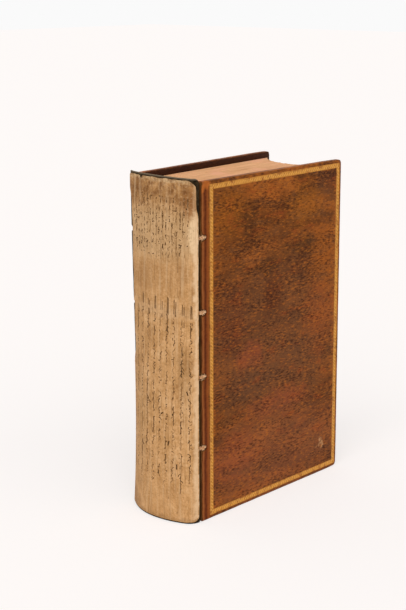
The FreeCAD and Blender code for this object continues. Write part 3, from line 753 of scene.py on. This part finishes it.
def pen_strokes():
    """Meaningless marks of a quill, in lines that run up the strip, in dark, faded and bold ink."""
    rng = random.Random(5)
    uniform, choice = rng.uniform, rng.choice
    strokes = {"dark": [], "faded": []}
    upright = math.pi / 2

    def put(ink_name, along, z, angle, size, kind):
        strokes[ink_name].append(((along, z, 0.0), (0.0, 0.0, angle), size, kind))

    def either(chance):
        return "dark" if rng.random() < chance else "faded"

    def about(middle, spread):
        return middle + uniform(-spread, spread)

    # Lower block: each line opens with a long stroke and goes on in words
    for column in (-22.5, -17.3, -11.6, -6.2, -0.4, 4.4, 9.6, 14.5, 20.2, 25.8):
        strong = 0.25 + 0.55 * min(1.0, max(0.0, (column + 24) / 16))
        z = uniform(136, 141)
        length = uniform(8, 14)
        for shift in (0.0, uniform(0.6, 1.3)):
            put(either(strong), column + shift, z - length / 2 - shift, about(upright, 0.03), length,
                STRAIGHT)
        z -= length + uniform(0.5, 2.0)
        while z > 27 + uniform(0, 5):
            word = uniform(3.5, 12.0)
            if rng.random() < 0.5:
                put(either(0.25), about(column, 0.3), z - word / 2, about(upright, 0.04), word, STRAIGHT)
            spot = z
            strong = choice((0.15, 0.5, 0.9))
            while spot > z - word:
                pick = rng.random()
                shift = about(column, 0.75)
                if pick < 0.45:
                    put(either(strong), shift, spot, about(upright, 0.5), uniform(0.8, 1.8),
                        choice((BENT, STRAIGHT)))
                elif pick < 0.72:
                    put(either(strong), shift, spot, about(0.0, 0.7), uniform(0.8, 1.7),
                        choice((HOOKED, BENT)))
                elif pick < 0.86:
                    put("dark", shift, spot, uniform(0, 3), uniform(0.4, 0.8), HOOKED)
                    put("dark", shift + 0.2, spot - 0.3, uniform(0, 3), uniform(0.5, 0.9), STRAIGHT)
                else:
                    put(either(strong), shift, spot, choice((-1, 1)) * uniform(0.5, 1.0), uniform(1.6, 3.0),
                        BENT)
                spot -= uniform(0.6, 2.2)
            z -= word + uniform(1.0, 4.0)
    # Upper block: close short ticks and hooks between a few wiped lines
    for _ in range(330):
        along, z = uniform(-20, 24.5), 164 + 36 * rng.random() ** 0.85
        along = round(along / 2.6) * 2.6 + rng.gauss(0, 0.35)
        pick = rng.random()
        if pick < 0.55:
            put(either(0.4), along, z, about(upright, 0.25), uniform(1.0, 2.8), choice((BENT, STRAIGHT)))
        elif pick < 0.85:
            put(either(0.45), along, z, about(0.0, 0.6), uniform(0.8, 1.7), choice((HOOKED, BENT)))
        else:
            put("dark", along, z, uniform(0, 3), uniform(0.5, 1.0), HOOKED)
    for _ in range(16):
        put("faded", uniform(-18, 22), uniform(160, 190), about(upright, 0.04), uniform(6, 15), STRAIGHT)
    # A few heavy pen tests
    strokes["bold"] = [((along, z, 0.0), (0.0, 0.0, angle), size, STRAIGHT)
                       for along, z, angle, size in BOLD_STROKES]
    return strokes


def make_writing(tree, name, marks, material, thickness):
    """The strokes of one ink, pressed flat so that they stand only just off the strip."""
    def place(co):
        return strip_point(co.x, co.y, 0.008 + 0.02 * max(co.z, -0.1) / 0.2)

    piece = lay_strokes(tree, name, marks, material, place, Thickness=thickness, Bow=0.35, Sides=4)
    settle(piece, "block", "parchment")


# Boards

def skin_depth(reach, z):
    """Depth of the leather's face, slightly cockled."""
    return 0.13 + 0.07 * ripple(reach, z, 30.0, 6.0) + 0.03 * ripple(reach, z, 6.0, 2.0)


def torn_edge(name, z):
    """How far from the joint the torn leather starts at a height."""
    worn = max(bump_at(z, place, 2.1) for place in CORD_HEIGHTS)
    jag = 0.35 + 0.3 * ripple(z, 4.0 * BOARD_SIDE[name], 5.0) + 0.22 * ripple(z, 9.0, 1.3)
    head = 0.7 * max(0.0, (z - 203.0) / 7.0)
    return JOINT_GAP[name] + max(jag, 0.0) + worn * (4.0 if name == "front" else 2.4) + head


FACE_TO_TURN_IN = [
    # Inset and depth of the outer skin, then of the flesh side, round the rim of a board
    ((1.0, 0.0), (1.0, 0.66)), ((0.6, 0.05), (0.85, 0.67)), ((0.28, 0.2), (0.75, 0.7)),
    ((0.1, 0.45), (0.71, 0.8)), ((0.02, 0.9), (0.7, 1.0)), ((0.0, 1.6), (0.7, 1.6)),
    ((0.0, 2.6), (0.7, 2.6)), ((0.02, 3.3), (0.7, 3.3)), ((0.12, 3.75), (0.71, 3.6)),
    ((0.35, 4.02), (0.76, 3.72)), ((0.8, 4.15), (0.95, 3.8)), ((2.5, 4.18), (2.5, 3.83)),
    ((6.0, 4.18), (6.0, 3.83)), ((10.0, 4.18), (10.0, 3.83)), ((13.0, 4.18), (13.0, 3.83)),
    ((13.9, 4.1), (13.9, 3.85)),
]


def ring_of_points(name, inset, depth, skin):
    """One open ring of points round the tail, fore-edge and head of a board at an inset."""
    side = BOARD_SIDE[name]
    arm, turns, edge = 40, 5, 64
    radius = min(2.0 + 0.35 * inset, HEIGHT / 2 - inset)
    low, high, far = inset, HEIGHT - inset, REACH - inset
    halves = []
    for end, way in ((low, 1), (high, -1)):
        near = torn_edge(name, end)
        half = [(near + (far - radius - near) * (step / arm) ** 1.6, end) for step in range(arm + 1)]
        for step in range(1, turns):
            angle = math.pi / 2 * step / turns
            half.append((far - radius + radius * math.sin(angle), end + way * radius * (1 - math.cos(angle))))
        halves.append(half)
    fore = [(far, low + radius + (high - low - 2 * radius) * step / edge) for step in range(edge + 1)]
    outline = halves[0] + fore + halves[1][::-1]
    points = []
    for reach, z in outline:
        dent = 0.0
        if inset < 3:
            # Knocked corners and rubbed rim
            dent = 0.1 + 0.1 * ripple(reach, z, 8.0, 4.0)
            dent += 0.5 * math.exp(-((reach - REACH) ** 2 + z ** 2) / 30) + 0.25 * math.exp(
                -((reach - REACH) ** 2 + (z - HEIGHT) ** 2) / 20)
            dent *= (3 - inset) / 3
        to_middle = Vector((min(reach, 60.0) - reach, HEIGHT / 2 - z))
        if to_middle.length > 0:
            to_middle.normalize()
        reach_in, z_in = reach + to_middle.x * dent, z + to_middle.y * dent
        deep = depth + skin * skin_depth(reach_in, z_in)
        points.append(on_board(side, reach_in, z_in, deep))
    return points


def make_leather(name, material):
    """The calf of a board: its face, its rubbed rim and its turn-ins as one closed skin."""
    # Rings across the face, closest together where a cord wears the joint's edge
    worn = (33.5, 78.6, 91.7, 47.1)
    insets = [inset for inset in reversed(levels(0.0, HEIGHT / 2, 2.6, worn, 0.55, 3.2)) if inset > 1.8]
    outer = [(inset, 0.0, 1.0, 0.0, 0.0) for inset in insets]
    inner = [(inset, 0.66, 0.0, 0.0, 0.0) for inset in insets]
    # Each ring also carries its share of painted shade, which rises over the turn-in and is full on the flesh
    # side round the rim
    for index, (skin, flesh) in enumerate(FACE_TO_TURN_IN):
        wear = 1.0 - abs(index - 4) / 6 if index < 10 else 0.0
        outer.append((*skin, max(0.0, 1.0 - index / 4), max(wear, 0.0), min(1.0, max(0.0, (index - 6) / 4))))
        inner.append((*flesh, 0.0, 0.0, 1.0))
    shape = Shape()
    layers = []
    for profile in (outer, inner):
        rings = [ring_of_points(name, inset, depth, skin) for inset, depth, skin, _, _ in profile]
        wears = [[wear] * len(rings[0]) for *_, wear, _ in profile]
        insides = [[inside] * len(rings[0]) for *_, inside in profile]
        shape.grid(rings, wear=wears, inside=insides)
        layers.append(rings)
    shape.grid([layers[0][-1], layers[1][-1]])
    for end in (0, -1):
        shape.grid([[ring[end] for ring in layers[0]], [ring[end] for ring in layers[1]]])
    piece = shape.build(f"{name}_calf", material, sharp=55)
    settle(piece, f"{name}_cover", "calf", f"{name}_leather")


# The gilt roll: two corners of its band and its width, and the insets and heights across it
BORDER = {"low": (7.4, 2.2), "high": (REACH - 1.9, HEIGHT - 2.3), "width": 3.1}
GILT_PROFILE = [(0.0, 0.012), (0.1, 0.05), (0.4, 0.05), (0.45, 0.02), (2.65, 0.02), (2.7, 0.05), (3.0, 0.05),
                (BORDER["width"], 0.012)]


def border_sides(inset):
    """The four sides of the band, each as its two corners, at an inset from its outer side."""
    (low_y, low_z), (high_y, high_z) = BORDER["low"], BORDER["high"]
    corners = [(low_y + inset, low_z + inset), (high_y - inset, low_z + inset),
               (high_y - inset, high_z - inset), (low_y + inset, high_z - inset)]
    return zip(corners, corners[1:] + corners[:1])


def make_gilt_field(name, material):
    """The gilt ground of the roll, between two fine fillets."""
    side = BOARD_SIDE[name]
    shape = Shape()
    tables = []
    for lift in (1.0, 0.0):
        table = []
        for inset, raised in GILT_PROFILE:
            ring = []
            for (y0, z0), (y1, z1) in border_sides(inset):
                count = 60 if abs(z1 - z0) > 1 else 36
                for step in range(count):
                    reach, z = y0 + (y1 - y0) * step / count, z0 + (z1 - z0) * step / count
                    depth = skin_depth(reach, z) - raised * lift + 0.05 * (1 - lift)
                    ring.append(on_board(side, reach, z, depth))
            ring.append(ring[0].copy())
            table.append(ring)
        tables.append(table)
        shape.grid(table)
    for pick in (0, -1):
        shape.grid([tables[0][pick], tables[1][pick]])
    piece = shape.build(f"{name}_gilt_ground", material, sharp=60)
    settle(piece, f"{name}_cover", "gold_leaf", f"{name}_gilt_border")


def make_gilt_rope(name, tree, material):
    """The rope of slanted dashes that the roll pressed into its ground."""
    side = BOARD_SIDE[name]
    spacing, slant, size = 2.15, 0.85, 2.3
    strokes = []
    for (y0, z0), (y1, z1) in border_sides(BORDER["width"] / 2):
        count = round(math.hypot(y1 - y0, z1 - z0) / spacing)
        turn = (0.0, 0.0, math.atan2(z1 - z0, y1 - y0) + slant)
        for step in range(count):
            share = (step + 0.5) / count
            strokes.append(((y0 + (y1 - y0) * share, z0 + (z1 - z0) * share, 0.0), turn, size, BENT))

    def place(co):
        return on_board(side, co.x, co.y, skin_depth(co.x, co.y) - 0.015 - 0.05 * max(co.z, -0.2))

    piece = lay_strokes(tree, f"{name}_gilt_rope", strokes, material, place, Thickness=0.42, Bow=0.16,
                        Sides=5)
    settle(piece, f"{name}_cover", "gold_leaf")


def make_wormholes(material):
    """Two holes bored by beetle grubs through the calf near the head, as shallow pits whose dark colour is
    painted shade of their depth.
    """
    shape = Shape()
    for reach, z, size in ((53.4, 200.9, 0.75), (57.4, 200.8, 0.9)):
        rings = []
        for radius, depth in ((0.02, 0.06), (0.7, 0.05), (1.0, 0.0), (1.0, 0.09), (0.02, 0.09)):
            ring = []
            for step in range(13):
                angle = 2 * math.pi * (step % 12) / 12
                wobble = size * radius * (1 + 0.12 * math.sin(3 * angle + reach))
                y, h = reach + wobble * math.cos(angle), z + 1.15 * wobble * math.sin(angle)
                ring.append(on_board(1, y, h, skin_depth(y, h) - 0.02 + depth))
            rings.append(ring)
        rings.append(rings[0])
        shape.grid(rings)
    settle(shape.build("wormholes", material), "front_cover", "calf")


# Frayed cords

def make_tufts(name, tree, material):
    """Broken fibres of each cord, fanned over the joint from the block to the board."""
    side = BOARD_SIDE[name]
    rng = random.Random(31 if name == "front" else 32)
    strokes = []
    for height in CORD_HEIGHTS:
        for _ in range(46):
            spread = rng.gauss(0, 0.55)
            along = rng.uniform(0.3, 2.1)
            lift = rng.uniform(-0.2, 0.75)
            angle = rng.gauss(0, 0.55)
            turn = (rng.uniform(-0.3, 0.3), rng.uniform(-0.35, 0.35), angle)
            strokes.append(((along, height + spread, lift), turn, rng.uniform(1.2, 3.2),
                            rng.choice((HOOKED, BENT, BENT, STRAIGHT))))

    def place(co):
        reach = max(co.x, -0.3)
        over = max(0.0, min(1.0, reach - 0.6))
        depth = 1.5 - 1.25 * over - 0.55 * co.z
        return on_board(side, reach + (0.0 if name == "front" else 1.0), co.y, min(max(depth, -0.3), 2.2))

    piece = lay_strokes(tree, f"{name}_tufts", strokes, material, place, Thickness=0.085, Bow=0.3, Sides=3)
    settle(piece, f"{name}_cover", "hemp_cord")


# Stains in millimetres: centre, half sizes, colour and strength
FRONT_STAINS = [
    ((62.0, 108.0), (60.0, 48.0), "#6a4228", 0.6), ((70.0, 76.0), (50.0, 26.0), "#6e452a", 0.45),
    ((64.0, 132.0), (9.0, 13.0), "#552a12", 0.75), ((78.0, 178.0), (9.5, 9.0), "#57300f", 0.55),
    ((42.0, 181.0), (9.0, 12.0), "#4a2a0e", 0.65), ((57.0, 152.0), (14.0, 5.0), "#46260c", 0.6),
    ((118.0, 196.0), (12.0, 9.0), "#55301c", 0.6), ((100.0, 158.0), (30.0, 5.0), "#50300f", 0.5),
    ((26.0, 120.0), (12.0, 20.0), "#60301a", 0.55), ((45.0, 78.0), (18.0, 8.0), "#5d3c26", 0.5),
    ((95.0, 186.0), (16.0, 12.0), "#97581a", 0.6), ((24.0, 190.0), (14.0, 15.0), "#8e5014", 0.6),
    ((114.0, 148.0), (12.0, 20.0), "#a2581c", 0.65), ((110.0, 110.0), (13.0, 20.0), "#9a4f22", 0.5),
    ((46.0, 158.0), (8.0, 5.0), "#a35a24", 0.55), ((70.0, 60.0), (26.0, 7.0), "#97492a", 0.5),
    ((44.0, 96.0), (12.0, 8.0), "#96482a", 0.5), ((70.0, 26.0), (64.0, 26.0), "#955737", 0.5),
    ((30.0, 36.0), (18.0, 16.0), "#964a2c", 0.4), ((60.0, 22.0), (20.0, 6.0), "#6a3f26", 0.5),
    ((2.0, 30.0), (7.0, 40.0), "#7a3a24", 0.5),
    ((113.1, 20.9), (1.6, 3.0), "#d09a68", 0.7), ((109.5, 19.0), (0.9, 1.4), "#bd7c4c", 0.6),
    ((127.0, 110.0), (4.0, 110.0), "#a8602a", 0.4), ((64.0, 207.0), (70.0, 3.0), "#a05c26", 0.4),
]
REAR_STAINS = [
    ((60.0, 120.0), (40.0, 30.0), "#5c2c16", 0.5), ((85.0, 60.0), (22.0, 16.0), "#552612", 0.5),
    ((40.0, 170.0), (18.0, 10.0), "#6a381f", 0.45), ((110.0, 150.0), (14.0, 26.0), "#a45a22", 0.4),
    ((126.0, 110.0), (5.0, 110.0), "#b06526", 0.4),
]
PARCHMENT_STAINS = [
    ((0.0, 178.0), (40.0, 16.0), "#bfa27a", 0.4), ((-27.5, 110.0), (4.5, 80.0), "#d3a184", 0.55),
    ((0.0, 203.5), (40.0, 6.0), "#a2713a", 0.5), ((-18.0, 201.0), (9.0, 8.0), "#80511f", 0.5),
    ((24.5, 198.0), (5.5, 9.0), "#8a5526", 0.7), ((10.0, 200.0), (8.0, 4.0), "#8c5d2d", 0.45),
    ((0.0, 210.5), (40.0, 2.0), "#d3b488", 0.6),
    ((27.2, 179.0), (2.6, 11.0), "#ecca9e", 0.8), ((29.0, 150.0), (1.5, 26.0), "#e6c298", 0.5),
    ((20.0, 156.0), (4.0, 7.0), "#9a6a3a", 0.5), ((0.0, 152.0), (24.0, 9.0), "#b58552", 0.5),
    ((-14.0, 148.0), (7.0, 7.0), "#a97846", 0.5), ((4.0, 131.0), (24.0, 3.5), "#d4ae84", 0.35),
    ((-24.0, 6.0), (10.0, 7.0), "#8e5e30", 0.6), ((0.0, 1.6), (40.0, 1.8), "#8d6438", 0.55),
    ((22.0, 96.0), (4.0, 16.0), "#a57a4a", 0.45), ((-12.0, 60.0), (5.0, 24.0), "#b68a58", 0.4),
]
# Streaks up the strip: stretch, scale, from and to thresholds, strength and colour
STREAKS = [
    (0.07, 620.0, 0.52, 0.7, 0.55, "#8c6237"), (0.03, 900.0, 0.5, 0.68, 0.35, "#a57b4c"),
    (0.3, 700.0, 0.6, 0.72, 0.55, "#6e4a26"), (0.05, 420.0, 0.5, 0.66, 0.35, "#dcb88e"),
]
# Heavy strokes: place on the strip, turn and length
BOLD_STROKES = [
    (-10.5, 45.0, -0.9, 2.4), (-4.5, 74.0, -0.7, 3.4), (24.8, 72.0, -0.85, 4.0), (24.0, 83.0, 1.9, 2.6),
    (11.5, 50.0, 1.3, 3.0), (6.5, 68.0, 0.5, 2.2), (17.5, 36.0, 1.57, 3.2),
]

def seen_straight(tree):
    """1 for rays from the camera and off gloss, for which the room is bright, and 0 for others."""
    ray = add_node(tree, "ShaderNodeLightPath")
    return add_node(tree, "ShaderNodeMath", {0: (ray, "Is Camera Ray"), 1: (ray, "Is Glossy Ray")},
                    operation="MAXIMUM")


def make_room():
    world = bpy.data.worlds.new("studio")
    bpy.context.scene.world = world
    world.use_nodes = True
    tree = world.node_tree
    tree.nodes.clear()
    shade = add_node(tree, "ShaderNodeMix", {
        0: seen_straight(tree), 6: colour("#bcbcbc"), 7: colour("#fafafa")}, data_type="RGBA")
    sky = add_node(tree, "ShaderNodeBackground", {"Color": (shade, 2), "Strength": 1.0})
    add_node(tree, "ShaderNodeOutputWorld", {"Surface": sky})


def make_floor():
    material, tree = new_material("pale_paper_floor")
    matt = add_node(tree, "ShaderNodeBsdfDiffuse", {"Color": colour("#e6e2df")})
    seen = add_node(tree, "ShaderNodeBsdfDiffuse", {"Color": colour("#b0a8a4")})
    glow = add_node(tree, "ShaderNodeEmission", {"Color": colour("#fafafa"), "Strength": 0.62})
    both = add_node(tree, "ShaderNodeAddShader", {0: seen, 1: glow})
    mixed = add_node(tree, "ShaderNodeMixShader", {0: seen_straight(tree), 1: matt, 2: both})
    add_node(tree, "ShaderNodeOutputMaterial", {"Surface": mixed})
    mesh = bpy.data.meshes.new("floor")
    mesh.from_pydata([(-6, -6, 0), (6, -6, 0), (6, 6, 0), (-6, 6, 0)], [], [(0, 1, 2, 3)])
    mesh.materials.append(material)
    floor = bpy.data.objects.new("floor", mesh)
    bpy.context.scene.collection.objects.link(floor)


bpy.context.scene.view_settings.view_transform = "Standard"
look_through_camera()
add_lamp("key", (0.35, -0.75, 0.75), 1.6, 60)
add_lamp("fill", (1.0, 0.1, 0.45), 0.55, 70)
make_room()
make_floor()

calf = {"front": make_calf("mottled_calf_front", 0.0, FRONT_STAINS),
        "rear": make_calf("mottled_calf_rear", 0.4, REAR_STAINS)}
# Pasteboard darkened as painted shade, for its edges seen in the gaps at the joints and in worn notches
pasteboard = make_plain("pasteboard", 120.0, [(0.3, "#42240c"), (0.55, "#64401d"), (0.75, "#80582e")],
                        stretch=(6.0, 1.0, 1.0), relief=0.0002)
endpaper = make_plain("foxed_endpaper", 60.0, [(0.3, "#cdb08a"), (0.5, "#dcc4a2"), (0.7, "#e4d0b2")])
hemp = make_plain("frayed_hemp", 700.0, [(0.3, "#dba06c"), (0.5, "#f4c292"), (0.7, "#fee0ba")])
ink = make_plain("iron_gall_ink", 260.0, [(0.3, "#38200c"), (0.5, "#543616"), (0.7, "#77532c")],
                 rough=(0.6, 0.8))
faded_ink = make_plain("faded_ink", 260.0, [(0.3, "#6a4824"), (0.5, "#855f36"), (0.7, "#9f774a")],
                       rough=(0.6, 0.8))
# Near black as painted shade inside the wormholes
hole_shade = make_plain("wormhole_painted_shade", 300.0, [(0.3, "#1c0c06"), (0.6, "#2c130a")])
gold_ground = make_gold("rubbed_gold_ground", "#c98a38", "#8f4d14", 0.42)
gold_rope = make_gold("gold_leaf", "#e0a24c", "#a9662a", 0.4)

strokes = make_stroke_tree()
writing = pen_strokes()
make_text_block(make_leaf_edges())
make_spine_lining(make_linen())
make_parchment_strip(make_parchment())
make_writing(strokes, "pen_strokes", writing["dark"], ink, 0.22)
make_writing(strokes, "bold_strokes", writing["bold"], ink, 0.42)
make_writing(strokes, "faded_strokes", writing["faded"], faded_ink, 0.15)
for name in BOARD_SIDE:
    make_leather(name, calf[name])
    make_gilt_field(name, gold_ground)
    make_gilt_rope(name, strokes, gold_rope)
    make_tufts(name, strokes, hemp)
make_wormholes(hole_shade)

for node_name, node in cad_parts.items():
    finish = None
    if node_name.endswith("_board"):
        finish = pasteboard
    elif node_name.endswith("_pastedown"):
        finish = endpaper
    elif "cord" in node_name or "slip" in node_name:
        finish = hemp
    if finish:
        node.data.materials.clear()
        node.data.materials.append(finish)
